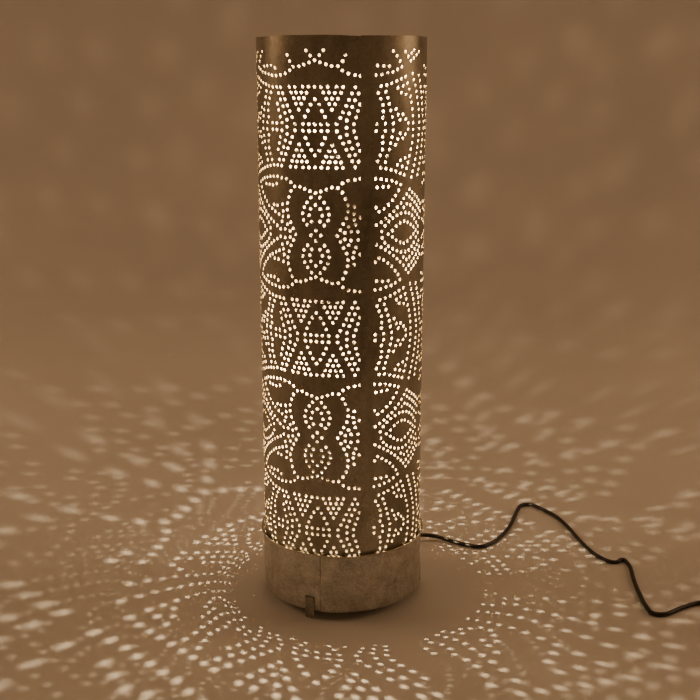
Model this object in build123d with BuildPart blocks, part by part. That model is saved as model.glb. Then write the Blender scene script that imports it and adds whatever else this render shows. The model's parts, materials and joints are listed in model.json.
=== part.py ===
from build123d import *
from math import acos, cos, degrees, radians, sin, tan
import os

os.makedirs("parts", exist_ok=True)

# A tall table lantern: a rolled, perforated sheet-metal cylinder standing in a low base drum on
# three folded strap feet, with two candle bulbs on threaded stems and a mains cord.
# Every piece is drawn about the lantern's own axis, with the floor at z = 0, +Z up and the front
# facing -Y. Saving a piece moves it by frame_shift, which puts the origin of the finished part on
# the floor under the middle of its overall box, cord and plug included.
# An azimuth is measured about +Z from the front (-Y), positive towards +X.

# ---------------------------------------------------------------- driving dimensions, mm

frame_shift = (-169.5, -13.7, 0.0)
overall_height = 520.0
shade_r = 75.0                  # outside of the rolled shade
shade_wall = 0.6
shade_fit = 0.4                 # radial slip between the shade and the drum
seam_from = 13.0                # azimuths of the shade's plain lapped strip
seam_to = 23.0
seam_step = 22.2                # where the outer sheet ends
seam_gap = 0.35                 # width of the step there

drum_wall = 0.7
drum_bottom = 7.8
drum_top = 65.0
lip_bend_r = 3.4                # inside radius of the outward flare
lip_bend_angle = 75.0
drum_lap_azimuth = -14.8        # where the drum's outer sheet end stands off

foot_azimuths = (-22.7, 97.3, 217.3)
foot_names = ("front", "right", "rear")
foot_width = 9.0
foot_thickness = 1.0
foot_height = 20.6
foot_corner_r = 2.6
foot_tongue_r = 55.0            # inner end of the tongue
slot_clearance = 0.4
slot_top_gap = 1.8

deck_thickness = 1.2
cover_thickness = 0.8
cover_bottom = 8.0
tie_screw_circle = 62.0         # radius of the three screws that hold cover, feet and deck
m3_r = 1.5

stem_r = 5.0
stem_bore_r = 3.8
stem_bottom = 15.8
nut_height = 3.0
washer_height = 1.0

upper_x = 16.5                  # the two lamps stand on the lantern's own left-right line
lower_x = -22.0
upper_base_z = 346.0            # underside of each lamp holder
lower_base_z = 101.0

holder_r = 14.0
holder_cap_height = 16.0
holder_height = 44.0
bulb_seat = 15.0                # the bulb's centre contact above the holder's underside
bulb_length = 100.0
bulb_r = 17.5
glass_wall = 0.7
cap_thread_r = 6.93
socket_thread_r = 7.0
thread_pitch = 2.82

cord_r = 2.0
cord_hole_r = 4.0               # the grommet's hole in the drum
cord_azimuth = 145.0
cord_height = 14.5              # where the cord passes through the drum
core_r = 0.7
lamp_wire_r = 0.7

switch_at = (362.0, -113.0)
switch_length = 62.0
switch_width = 28.0
switch_split = 8.0              # height of the joint between the two shells
switch_top = 16.5
switch_wall = 2.0
rocker_pivot_z = 13.0
rocker_on_tilt = 8.0            # the rocker rests in its on position
rocker_half = 10.0
pin_clearance = 0.05

plug_at = (400.0, -146.0)       # where the cord enters the plug
plug_length = 35.0
plug_width = 35.3
plug_thickness = 13.7
plug_pin_r = 2.0
plug_pin_spacing = 19.0
plug_pin_length = 19.0
cord_entry = 5.0                # how far the cord runs into the plug

# ---------------------------------------------------------------- derived dimensions

drum_inner_r = shade_r + shade_fit
drum_outer_r = drum_inner_r + drum_wall
drum_lap_angle = degrees(acos(drum_outer_r / (drum_outer_r + drum_wall)))
drum_cut_start = drum_inner_r - 3.0
drum_cut_reach = 6.0
deck_bottom = foot_height
deck_top = deck_bottom + deck_thickness
shade_bottom = deck_top + 0.05
cover_top = cover_bottom + cover_thickness
plug_axis_z = plug_thickness / 2 + 0.45   # the moulding's belly just touches the floor


def outward(azimuth, radius, z=0.0):
    """The point at this azimuth, radius and height."""
    a = radians(azimuth)
    return (radius * sin(a), -radius * cos(a), z)


def radial_plane(azimuth, radius, z):
    """A plane facing outward at this azimuth, with its local x sideways and its local y up."""
    a = radians(azimuth)
    return Plane(
        origin=outward(azimuth, radius, z),
        x_dir=(cos(a), sin(a), 0),
        z_dir=(sin(a), -cos(a), 0),
    )


def save(piece, label):
    """Names one finished piece, moves it into the part's frame and writes its STEP file."""
    placed = Pos(*frame_shift) * piece
    placed.label = label
    export_step(placed, f"parts/{label}.step")


def turned(x, z, outline):
    """A body of revolution about the vertical line through (x, 0); outline holds (radius, height)."""
    with BuildPart() as piece:
        with BuildSketch(Plane(origin=(x, 0, z), x_dir=(1, 0, 0), z_dir=(0, -1, 0))):
            with BuildLine():
                Polyline(*outline, close=True)
            make_face()
        revolve(axis=Axis((x, 0, z), (0, 0, 1)))
    return piece.part


def ring_outline(inner, outer, low, high):
    """The outline of a plain ring for turned()."""
    return [(inner, low), (outer, low), (outer, high), (inner, high)]


def wire(points, radius):
    """A round wire swept along a smooth curve through these points."""
    with BuildPart() as piece:
        with BuildLine() as path:
            Spline(*points)
        with BuildSketch(Plane(origin=path.line @ 0, z_dir=path.line % 0)):
            Circle(radius)
        sweep()
    return piece.part


# ---------------------------------------------------------------- shade

with BuildPart() as shade:
    with BuildSketch(Plane.XY.offset(shade_bottom)):
        Circle(shade_r)
        Circle(shade_r - shade_wall, mode=Mode.SUBTRACT)
        # the inner end of the sheet laps behind the outer end
        with BuildSketch(mode=Mode.PRIVATE) as lap_sector:
            with BuildLine():
                Polyline(
                    (0, 0),
                    outward(seam_from, 2 * shade_r)[:2],
                    outward(seam_to, 2 * shade_r)[:2],
                    close=True,
                )
            make_face()
            Circle(shade_r - shade_wall, mode=Mode.INTERSECT)
            Circle(shade_r - 2 * shade_wall, mode=Mode.SUBTRACT)
        add(lap_sector.sketch)
    extrude(amount=overall_height - shade_bottom)
    # the step at the outer sheet's end, cut over the whole height
    with BuildSketch(radial_plane(seam_step, shade_r - shade_wall, overall_height / 2)):
        Rectangle(seam_gap, overall_height)
    extrude(amount=2 * shade_wall, mode=Mode.SUBTRACT)
save(shade.part, "shade")

# ---------------------------------------------------------------- base drum

flare_centre_r = drum_outer_r + lip_bend_r
flare_cos = cos(radians(lip_bend_angle))
flare_sin = sin(radians(lip_bend_angle))
flare_start = drum_top - (lip_bend_r + drum_wall) * flare_sin


def on_flare(radius, angle):
    """A point on the flare, this far round an arc of this radius."""
    a = radians(angle)
    return (flare_centre_r - radius * cos(a), flare_start + radius * sin(a))


inner_bend_r = lip_bend_r + drum_wall
with BuildPart() as base_drum:
    with BuildSketch(Plane.XZ):
        with BuildLine():
            Line((drum_inner_r, drum_bottom), (drum_outer_r, drum_bottom))
            Line((drum_outer_r, drum_bottom), (drum_outer_r, flare_start))
            ThreePointArc(
                on_flare(lip_bend_r, 0),
                on_flare(lip_bend_r, lip_bend_angle / 2),
                on_flare(lip_bend_r, lip_bend_angle),
            )
            Line(on_flare(lip_bend_r, lip_bend_angle), on_flare(inner_bend_r, lip_bend_angle))
            ThreePointArc(
                on_flare(inner_bend_r, lip_bend_angle),
                on_flare(inner_bend_r, lip_bend_angle / 2),
                on_flare(inner_bend_r, 0),
            )
            Line((drum_inner_r, flare_start), (drum_inner_r, drum_bottom))
        make_face()
    revolve(axis=Axis.Z)
    # the sheet's outer end springs straight off the drum and stops at the lap line
    with BuildSketch(Plane.XY.offset(drum_bottom)):
        with BuildLine():
            Polyline(
                outward(drum_lap_azimuth, drum_outer_r + drum_wall)[:2],
                outward(drum_lap_azimuth + drum_lap_angle, drum_outer_r)[:2],
                outward(drum_lap_azimuth + drum_lap_angle, drum_outer_r - drum_wall / 2)[:2],
                outward(drum_lap_azimuth, drum_outer_r - drum_wall / 2)[:2],
                close=True,
            )
        make_face()
    extrude(amount=flare_start - drum_bottom)
    # a slot for each strap foot
    slot_low = foot_height - foot_thickness - slot_clearance
    slot_high = foot_height + slot_top_gap
    for azimuth in foot_azimuths:
        with BuildSketch(radial_plane(azimuth, drum_cut_start, (slot_low + slot_high) / 2)):
            Rectangle(foot_width + 2 * slot_clearance, slot_high - slot_low)
        extrude(amount=drum_cut_reach, mode=Mode.SUBTRACT)
    # the cord's hole
    with BuildSketch(radial_plane(cord_azimuth, drum_cut_start, cord_height)):
        Circle(cord_hole_r)
    extrude(amount=drum_cut_reach, mode=Mode.SUBTRACT)
save(base_drum.part, "base_drum")

# ---------------------------------------------------------------- strap feet

foot_face_r = drum_outer_r + 0.05
foot_bend_r = 0.95              # outside radius of the strap's fold
foot_outline = [
    (foot_face_r, 0),
    (foot_face_r + foot_thickness, 0),
    (foot_face_r + foot_thickness, foot_height),
    (foot_tongue_r, foot_height),
    (foot_tongue_r, foot_height - foot_thickness),
    (foot_face_r, foot_height - foot_thickness),
]
with BuildPart() as foot:
    with BuildSketch(Plane.XZ):
        with BuildLine():
            Polyline(*foot_outline, close=True)
        make_face()
    extrude(amount=foot_width / 2, both=True)
    bend = foot.edges().filter_by(Axis.Y).sort_by(Axis.X)[-2:].sort_by(Axis.Z)[-1]
    fillet(bend, foot_bend_r)
    fillet(foot.edges().filter_by(Axis.X).group_by(Axis.Z)[0], foot_corner_r)
    tongue_tip = foot.edges().filter_by(Axis.Z).group_by(Axis.X)[0]
    fillet(tongue_tip, foot_corner_r)
    with Locations((tie_screw_circle, 0, foot_height)):
        Hole(m3_r + 0.2, depth=2 * foot_thickness)
for name, azimuth in zip(foot_names, foot_azimuths):
    save(foot.part.rotate(Axis.Z, azimuth - 90), f"foot_{name}")

# ---------------------------------------------------------------- deck and bottom cover

tie_points = [outward(azimuth, tie_screw_circle)[:2] for azimuth in foot_azimuths]
stem_points = [(upper_x, 0), (lower_x, 0)]
clamp_screw_offset = 8.5
clamp_r = 56.0
block_r = 32.0                  # the terminal block lies on the cord's own radius
clamp_plane = radial_plane(cord_azimuth, clamp_r, cord_height)
clamp_screws = [
    clamp_plane.from_local_coords((side * clamp_screw_offset, 0, 0)) for side in (-1, 1)
]
clamp_screw_points = [(p.X, p.Y) for p in clamp_screws]
block_at = outward(cord_azimuth, block_r)[:2]
block_screw_hole_r = 1.3

with BuildPart() as deck_plate:
    with BuildSketch(Plane.XY.offset(deck_bottom)):
        Circle(drum_inner_r - 0.2)
        with Locations(*tie_points):
            Circle(m3_r + 0.2, mode=Mode.SUBTRACT)
        with Locations(*stem_points):
            Circle(stem_r + 0.3, mode=Mode.SUBTRACT)
        with Locations(*clamp_screw_points):
            Circle(m3_r + 0.05, mode=Mode.SUBTRACT)
        with Locations(block_at):
            Circle(block_screw_hole_r, mode=Mode.SUBTRACT)
    extrude(amount=deck_thickness)
save(deck_plate.part, "deck_plate")

with BuildPart() as bottom_cover:
    with BuildSketch(Plane.XY.offset(cover_bottom)):
        Circle(drum_inner_r - 0.3)
        with Locations(*tie_points):
            Circle(m3_r + 0.1, mode=Mode.SUBTRACT)
    extrude(amount=cover_thickness)
save(bottom_cover.part, "bottom_cover")

spacer_r = 3.5
with BuildPart() as cover_spacers:
    with BuildSketch(Plane.XY.offset(cover_top)):
        with Locations(*tie_points):
            Circle(spacer_r)
            Circle(m3_r + 0.2, mode=Mode.SUBTRACT)
    extrude(amount=foot_height - foot_thickness - cover_top)
save(cover_spacers.part, "cover_spacers")

tie_nut_height = 2.4
tie_nut_flats = 5.5
tie_screw_end = 0.6             # how far the screws show above their nuts
tie_head_r = 2.8
tie_head_height = 1.8
with BuildPart() as cover_screws:
    with BuildSketch(Plane.XY.offset(cover_bottom)):
        with Locations(*tie_points):
            Circle(m3_r)
    extrude(amount=deck_top + tie_nut_height + tie_screw_end - cover_bottom)
    with BuildSketch(Plane.XY.offset(cover_bottom)):
        with Locations(*tie_points):
            Circle(tie_head_r)
    extrude(amount=-tie_head_height)
    with BuildSketch(Plane.XY.offset(cover_bottom - tie_head_height)):
        with Locations(*tie_points):
            Rectangle(4.4, 0.8)
    extrude(amount=tie_head_height / 2, mode=Mode.SUBTRACT)
save(cover_screws.part, "cover_screws")

with BuildPart() as cover_nuts:
    with BuildSketch(Plane.XY.offset(deck_top)):
        with Locations(*tie_points):
            RegularPolygon(tie_nut_flats / 2, 6, major_radius=False)
            Circle(m3_r + 0.02, mode=Mode.SUBTRACT)
    extrude(amount=tie_nut_height)
save(cover_nuts.part, "cover_nuts")

# ---------------------------------------------------------------- stems, nuts and washers

stem_entry = 5.9                # how far a stem runs up into its lamp holder
stem_nut_flats = 14.0
stem_washer_r = 9.0
for label, x, base_z in (
    ("stem_tall", upper_x, upper_base_z),
    ("stem_short", lower_x, lower_base_z),
):
    tube = ring_outline(stem_bore_r, stem_r, stem_bottom, base_z + stem_entry)
    save(turned(x, 0, tube), label)

nut_levels = (deck_bottom - washer_height - nut_height, deck_top + washer_height)
washer_levels = (deck_bottom - washer_height, deck_top)
with BuildPart() as stem_nuts:
    for level in nut_levels:
        with BuildSketch(Plane.XY.offset(level)):
            with Locations(*stem_points):
                RegularPolygon(stem_nut_flats / 2, 6, major_radius=False)
                Circle(stem_r + 0.02, mode=Mode.SUBTRACT)
        extrude(amount=nut_height)
save(stem_nuts.part, "stem_nuts")

with BuildPart() as stem_washers:
    for level in washer_levels:
        with BuildSketch(Plane.XY.offset(level)):
            with Locations(*stem_points):
                Circle(stem_washer_r)
                Circle(stem_r + 0.3, mode=Mode.SUBTRACT)
        extrude(amount=washer_height)
save(stem_washers.part, "stem_washers")

# ---------------------------------------------------------------- lamp holders

terminal_offset = 6.5           # the two wire terminals under each contact block
terminal_r = 1.1
shell_r = 11.2                  # inside of the cap's rim and of the skirt
block_seat = 12.0               # heights above the holder's underside
contact_floor = 13.5
block_top = 19.0


def lamp_holder(prefix, x, base_z):
    """The five pieces of one three-part lamp holder, standing on its stem."""
    cap = [
        (stem_r + 0.05, 0),
        (8.0, 0),
        (holder_r, 9.0),
        (holder_r, holder_cap_height),
        (shell_r, holder_cap_height),
        (shell_r, block_seat),
        (shell_r - 1, block_seat),
        (shell_r - 1, 6.0),
        (stem_r + 0.05, 6.0),
    ]
    save(turned(x, base_z, cap), f"{prefix}_holder_cap")

    skirt_low = holder_cap_height + 0.05
    skirt = [
        (shell_r, skirt_low),
        (holder_r, skirt_low),
        (holder_r - 0.5, holder_height - 1),
        (holder_r - 1.5, holder_height),
        (9.6, holder_height),
        (9.6, holder_height - 2),
        (shell_r, holder_height - 2),
    ]
    save(turned(x, base_z, skirt), f"{prefix}_holder_skirt")

    with BuildPart() as block:
        with BuildSketch(Plane.XY.offset(base_z + block_seat)):
            with Locations((x, 0)):
                Circle(shell_r - 0.1)
        extrude(amount=block_top - block_seat)
        with BuildSketch(Plane.XY.offset(base_z + block_seat)):
            with Locations((x, -terminal_offset), (x, terminal_offset)):
                Circle(terminal_r)
        extrude(amount=4.0, mode=Mode.SUBTRACT)
        with BuildSketch(Plane.XY.offset(base_z + contact_floor)):
            with Locations((x, 0)):
                Circle(6.45)
        extrude(amount=block_top - contact_floor, mode=Mode.SUBTRACT)
    save(block.part, f"{prefix}_holder_block")

    shell = ring_outline(socket_thread_r, socket_thread_r + 0.35, block_top, block_top + 15)
    save(turned(x, base_z, shell), f"{prefix}_holder_thread")

    leaf = contact_floor + 0.5
    contact = [(0, contact_floor), (3.8, contact_floor), (3.8, leaf), (1.2, leaf), (1.2, leaf + 0.5)]
    contact += [(2.4, leaf + 0.5), (2.4, bulb_seat - 0.05), (0, bulb_seat - 0.05)]
    save(turned(x, base_z, contact), f"{prefix}_holder_contact")


lamp_holder("upper", upper_x, upper_base_z)
lamp_holder("lower", lower_x, lower_base_z)

# ---------------------------------------------------------------- bulbs

glass_neck = 24.0               # heights above the bulb's centre contact
filament_height = 60.0
filament_step = 3.75            # the filament's zigzag, across and up
filament_rise = 2.8
filament_r = 0.25
lead_r = 0.3
bead_top = 46.5
cap_bottom = 5.0
cap_thread_start = 6.0
cap_thread_depth = 0.5
cap_thread_turns = 5


def candle_profile(inset):
    """The candle bulb's outline from neck to tip, drawn this far inside the outer surface."""
    return [
        (7.1 - inset, glass_neck),
        (7.7 - inset, 30.0),
        (13.4 - inset, 40.0),
        (bulb_r - inset, 54.0),
        (14.6 - inset, 72.0),
        (7.2 - inset, 90.0),
        (0, bulb_length - inset),
    ]


def candle_face(x, z, inset, low):
    """Half the bulb's section inside its outline, on the plane through its axis, down to low."""
    outline = candle_profile(inset)
    neck_r = outline[0][0]
    with BuildSketch(Plane(origin=(x, 0, z), x_dir=(1, 0, 0), z_dir=(0, -1, 0))) as section:
        with BuildLine():
            Spline(*outline, tangents=((0, 1), (-1, 0)), tangent_scalars=(1, 1))
            Line((0, bulb_length - inset), (0, low))
            Line((0, low), (neck_r, low))
            if low < glass_neck:
                Line((neck_r, low), (neck_r, glass_neck))
        make_face()
    return section.sketch


def thread_outline():
    """The cap's rolled thread, drawn as rings at the thread's pitch."""
    points = []
    for turn in range(cap_thread_turns):
        low = cap_thread_start + turn * thread_pitch
        points += [
            (cap_thread_r - cap_thread_depth, low),
            (cap_thread_r, low + 0.35 * thread_pitch),
            (cap_thread_r, low + 0.65 * thread_pitch),
        ]
    return points


def bulb(prefix, x, base_z):
    """The pieces of one candle bulb: glass, screw cap, insulator, tip, mount, leads and filament."""
    z = base_z + bulb_seat
    with BuildPart() as glass:
        bulb_axis = Axis((x, 0, z), (0, 0, 1))
        revolve(candle_face(x, z, 0, glass_neck), axis=bulb_axis)
        hollow = candle_face(x, z, glass_wall, glass_neck - 2)
        revolve(hollow, axis=bulb_axis, mode=Mode.SUBTRACT)
    save(glass.part, f"{prefix}_bulb_glass")

    root_r = cap_thread_r - cap_thread_depth
    cap = [(6.1, cap_bottom), (root_r, cap_bottom)]
    cap += thread_outline()
    cap += [(root_r, 20.6), (7.6, 22.4), (8.1, 23.0), (8.1, 27.0)]
    cap += [(7.5, 27.0), (7.5, 23.4), (6.1, 21.0)]
    save(turned(x, z, cap), f"{prefix}_bulb_cap")

    insulator = [(2.45, 1.0), (3.4, 1.0), (6.3, 4.9), (6.0, 4.9), (6.0, 7.0), (2.45, 7.0)]
    save(turned(x, z, insulator), f"{prefix}_bulb_insulator")

    tip = [(0, 0), (1.7, 0), (2.4, 0.6), (2.4, 1.8), (0, 1.8)]
    save(turned(x, z, tip), f"{prefix}_bulb_tip")

    mount = [(0, 24.4), (6.3, 24.4), (6.3, 25.4), (2.0, 28.0), (2.0, 44.0)]
    mount += [(2.7, 45.2), (2.7, 45.8), (2.0, bead_top), (0, bead_top)]
    save(turned(x, z, mount), f"{prefix}_bulb_mount")

    with BuildPart() as leads:
        for side in (-1, 1):
            low = (x + side * 1.5, 0, z + bead_top + 0.1)
            high = (x + side * 2 * filament_step, 0, z + filament_height - lead_r)
            with BuildLine() as path:
                Line(low, high)
            with BuildSketch(Plane(origin=low, z_dir=path.line % 0)):
                Circle(lead_r)
            sweep()
    save(leads.part, f"{prefix}_bulb_leads")

    low = z + filament_height + 0.2
    wave = [
        (x + step * filament_step, 0, low + step % 2 * filament_rise) for step in range(-2, 3)
    ]
    save(wire(wave, filament_r), f"{prefix}_bulb_filament")


bulb("upper", upper_x, upper_base_z)
bulb("lower", lower_x, lower_base_z)

# ---------------------------------------------------------------- terminal block

block_size = (20.0, 20.0, 10.0)
block_bottom = deck_bottom - block_size[2]
pole_offset = 5.0
pole_z = cord_height
sleeve_r = 2.6
sleeve_bore_r = 1.55
sleeve_length = 16.0
clamp_screw_r = 1.65
block_screw_r = 1.25
block_head_r = 2.2
block_head_height = 1.5
across = radial_plane(cord_azimuth, block_r, pole_z)
block_plane = Plane(
    origin=(block_at[0], block_at[1], block_bottom), x_dir=across.x_dir, z_dir=(0, 0, 1)
)
poles = [(side * pole_offset, 0) for side in (-1, 1)]
clamp_points = [(side * pole_offset, end * 5.5) for side in (-1, 1) for end in (-1, 1)]
with BuildPart() as terminal_block:
    with BuildSketch(block_plane):
        RectangleRounded(block_size[0], block_size[1], 1.5)
    extrude(amount=block_size[2])
    with BuildSketch(across):
        with Locations(*poles):
            Circle(sleeve_r + 0.05)
    extrude(amount=block_size[0], both=True, mode=Mode.SUBTRACT)
    with BuildSketch(block_plane):
        with Locations(*clamp_points):
            Circle(clamp_screw_r + 0.1)
    extrude(amount=pole_z - block_bottom - sleeve_r, mode=Mode.SUBTRACT)
    with BuildSketch(block_plane):
        Circle(block_screw_hole_r)
    extrude(amount=block_size[2], mode=Mode.SUBTRACT)
    with BuildSketch(block_plane):
        Circle(block_head_r + 0.1)
    extrude(amount=block_head_height + 0.5, mode=Mode.SUBTRACT)
save(terminal_block.part, "terminal_block")

with BuildPart() as terminal_sleeves:
    with BuildSketch(across):
        with Locations(*poles):
            Circle(sleeve_r)
            Circle(sleeve_bore_r, mode=Mode.SUBTRACT)
    extrude(amount=sleeve_length / 2, both=True)
save(terminal_sleeves.part, "terminal_sleeves")

screw_head_top = pole_z - sleeve_r - 0.05
with BuildPart() as terminal_screws:
    with BuildSketch(block_plane.offset(-0.2)):
        with Locations(*clamp_points):
            Circle(clamp_screw_r)
    extrude(amount=screw_head_top - block_bottom + 0.2)
    with BuildSketch(block_plane.offset(-0.2)):
        with Locations(*clamp_points):
            Rectangle(2 * clamp_screw_r + 0.1, 0.5)
    extrude(amount=0.5, mode=Mode.SUBTRACT)
save(terminal_screws.part, "terminal_screws")

block_head_bottom = block_bottom + 0.4
block_head_top = block_head_bottom + block_head_height
with BuildPart() as block_screw:
    with BuildSketch(Plane.XY.offset(block_head_bottom)):
        with Locations(block_at):
            Circle(block_head_r)
    extrude(amount=block_head_height)
    with BuildSketch(Plane.XY.offset(block_head_top)):
        with Locations(block_at):
            Circle(block_screw_r)
    extrude(amount=deck_top + 1.0 - block_head_top)
save(block_screw.part, "block_screw")

# ---------------------------------------------------------------- cord clamp and grommet

clamp_length = 8.0
clamp_width = 24.0
clamp_low = 11.5
clamp_head_r = 2.7
clamp_head_height = 1.6


def clamp_half(low, high):
    """One half of the cord clamp, from low to high, with half the cord's channel and two holes."""
    middle = radial_plane(cord_azimuth, clamp_r - clamp_length / 2, (low + high) / 2)
    cord_line = radial_plane(cord_azimuth, clamp_r - clamp_length, cord_height)
    with BuildPart() as half:
        with BuildSketch(middle):
            Rectangle(clamp_width, high - low)
        extrude(amount=clamp_length)
        with BuildSketch(cord_line):
            Circle(cord_r)
        extrude(amount=2 * clamp_length, mode=Mode.SUBTRACT)
        with BuildSketch(Plane.XY.offset(low)):
            with Locations(*clamp_screw_points):
                Circle(m3_r + 0.1)
        extrude(amount=high - low, mode=Mode.SUBTRACT)
    return half.part


save(clamp_half(cord_height, deck_bottom), "cord_clamp_base")
save(clamp_half(clamp_low, cord_height), "cord_clamp_bar")

with BuildPart() as clamp_screws_part:
    with BuildSketch(Plane.XY.offset(clamp_low)):
        with Locations(*clamp_screw_points):
            Circle(m3_r)
    extrude(amount=deck_top + 0.8 - clamp_low)
    with BuildSketch(Plane.XY.offset(clamp_low - clamp_head_height)):
        with Locations(*clamp_screw_points):
            Circle(clamp_head_r)
    extrude(amount=clamp_head_height)
save(clamp_screws_part.part, "cord_clamp_screws")

flange_r = 5.4
neck_r = cord_hole_r - 0.05
groove_in = -0.96               # the groove takes the drum's curved wall, measured from its outside
groove_out = 0.05
grommet_outline = [
    (cord_r + 0.05, -2.1),
    (flange_r - 0.5, -2.1),
    (flange_r, -1.6),
    (flange_r, groove_in),
    (neck_r, groove_in),
    (neck_r, groove_out),
    (flange_r, groove_out),
    (flange_r, 0.8),
    (flange_r - 0.8, 1.7),
    (cord_r + 0.05, 1.7),
]
grommet_side = radial_plane(cord_azimuth, drum_outer_r, cord_height)
with BuildPart() as cable_grommet:
    with BuildSketch(Plane(grommet_side.origin, x_dir=grommet_side.x_dir, z_dir=(0, 0, -1))):
        with BuildLine():
            Polyline(*grommet_outline, close=True)
        make_face()
    revolve(axis=Axis(grommet_side.origin, grommet_side.z_dir))
save(cable_grommet.part, "cable_grommet")

# ---------------------------------------------------------------- cord

cord_start = outward(cord_azimuth, clamp_r - clamp_length / 2 - 3, cord_height)
cord_bend = outward(cord_azimuth, drum_outer_r + 12, cord_height)
cord_heading = outward(cord_azimuth, 1)
switch_end_gap = 3.0            # how far each cord reaches into the switch
switch_back = (switch_at[0], switch_at[1] + switch_length / 2)
switch_front = (switch_at[0], switch_at[1] - switch_length / 2)

lamp_run = [
    cord_start,
    cord_bend,
    (92, 112, 5),
    (122, 93, 2.2),
    (146, 82, cord_r),
    (161, 95, cord_r),
    (176, 119, cord_r),
    (187, 145, cord_r),
    (196, 175, cord_r),
    (205, 201, cord_r),
    (217, 206, cord_r),
    (229, 189, cord_r),
    (242, 166, cord_r),
    (249, 136, cord_r),
    (254, 100, cord_r),
    (262, 66, cord_r),
    (272, 49, cord_r),
    (281, 44, cord_r),
    (290, 57, cord_r),
    (293, 36, cord_r),
    (288, 0, cord_r),
    (286, -46, cord_r),
    (288, -67, cord_r),
    (300, -69, cord_r),
    (317, -56, cord_r),
    (336, -45, cord_r),
    (348, -45, 2.6),
    (357, -53, 4.6),
    (switch_back[0] - 1, switch_back[1] + 16, 6.6),
    (switch_back[0], switch_back[1] + 4, switch_split),
    (switch_back[0], switch_back[1] - switch_end_gap, switch_split),
]


def bend_radii(points):
    """The largest bend at each corner of a run that still leaves room for its neighbours."""
    radii = []
    for before, here, after in zip(points, points[1:], points[2:]):
        leg_in = Vector(*here) - Vector(*before)
        leg_out = Vector(*after) - Vector(*here)
        half_turn = radians(max(leg_in.get_angle(leg_out), 0.5)) / 2
        radii.append(0.49 * min(leg_in.length, leg_out.length) / tan(half_turn))
    return radii


def cord(points):
    """A round cord along a run of straights joined by tangent bends."""
    with BuildPart() as piece:
        with BuildLine() as path:
            FilletPolyline(*points, radius=bend_radii(points))
        with BuildSketch(Plane(origin=points[0], z_dir=path.line % 0)):
            Circle(cord_r)
        sweep()
    return piece.part


save(cord(lamp_run), "mains_cord")

plug_run = [
    (switch_front[0], switch_front[1] + switch_end_gap, switch_split),
    (switch_front[0], switch_front[1] - 4, switch_split),
    (switch_front[0] + 1, switch_front[1] - 14, 4.5),
    (switch_front[0] + 9, switch_front[1] - 31, cord_r),
    (switch_front[0] + 24, switch_front[1] - 34, cord_r),
    (plug_at[0] - 2, plug_at[1] - 18, 3.6),
    (plug_at[0], plug_at[1] - 6, plug_axis_z),
    (plug_at[0], plug_at[1] + cord_entry, plug_axis_z),
]
save(cord(plug_run), "plug_cord")

# the cord's two cores run on from its cut end into the terminal block
inward = Vector(*cord_heading) * -1
sideways = across.x_dir
core_pitch = 0.95               # half the spacing of the cores inside the cord
block_outer_end = block_r + block_size[1] / 2
block_inner_end = block_r - block_size[1] / 2
with BuildPart() as cord_cores:
    for side in (-1, 1):
        begin = Vector(*cord_start) + inward * 0.1 + sideways * side * core_pitch
        end = Vector(*outward(cord_azimuth, block_outer_end - 3, pole_z)) + sideways * side * pole_offset
        with BuildLine() as core_path:
            Spline(begin, end, tangents=(inward, inward), tangent_scalars=(1, 1))
        with BuildSketch(Plane(origin=begin, z_dir=inward)):
            Circle(core_r)
        sweep()
save(cord_cores.part, "cord_cores")

# ---------------------------------------------------------------- lamp wires

wire_pitch = 1.5                # half the spacing of the two wires inside a stem
wire_bend_r = 4.0


def lamp_wires(prefix, x, base_z, level, heading, share):
    """Two wires from the terminal block, under the deck at this level and up one stem to its holder."""
    along = Vector(*heading).normalized()
    beside = Vector(-along.Y, along.X, 0)
    up = Vector(0, 0, 1)
    with BuildPart() as wires:
        for side in (-1, 1):
            pole = sideways * side * pole_offset
            start_z = pole_z + share * 0.75
            begin = Vector(*outward(cord_azimuth, block_inner_end + 3, start_z)) + pole
            free_z = (start_z + level) / 2
            free = Vector(*outward(cord_azimuth, block_inner_end - 3, free_z)) + pole
            riser = Vector(x, 0, level + wire_bend_r) - beside * side * wire_pitch
            below = riser - along * wire_bend_r - up * wire_bend_r
            middle = riser - along * (wire_bend_r * (1 - sin(radians(45))))
            middle -= up * (wire_bend_r * sin(radians(45)))
            top = Vector(riser.X, riser.Y, base_z + 4)
            spread = Vector(x, -side * terminal_offset, base_z + 13.5)
            between = (top + spread) * 0.5
            with BuildLine() as path:
                Spline(begin, free, below, tangents=(inward, along), tangent_scalars=(1, 1))
                ThreePointArc(below, middle, riser)
                Line(riser, top)
                Spline(top, between, spread, tangents=(up, up), tangent_scalars=(1, 1))
            with BuildSketch(Plane(origin=begin, z_dir=inward)):
                Circle(lamp_wire_r)
            sweep()
    save(wires.part, f"{prefix}_lamp_wires")


lamp_wires("upper", upper_x, upper_base_z, 13.4, (0.1, -1, 0), 1)
lamp_wires("lower", lower_x, lower_base_z, 11.3, (-0.9, -0.43, 0), -1)

# ---------------------------------------------------------------- inline switch

sx, sy = switch_at
entry_r = cord_r + 0.05
bearing_r = 1.4
corner_r = 8.0
post_r = 2.6
screw_points = [(sx - 8.5, sy + 22), (sx + 8.5, sy - 22)]
screw_shank_r = 0.9
screw_head_r = 2.1
screw_head_height = 1.2
screw_sunk = 0.4                # the heads lie this far inside the base
cover_post_bottom = switch_split + 0.05
ear_bottom = 10.5
cavity_top = switch_top - switch_wall


def shell_outline(inset):
    """The switch's rounded plan, this far inside its outside surface."""
    RectangleRounded(switch_width - 2 * inset, switch_length - 2 * inset, corner_r - inset)


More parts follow.
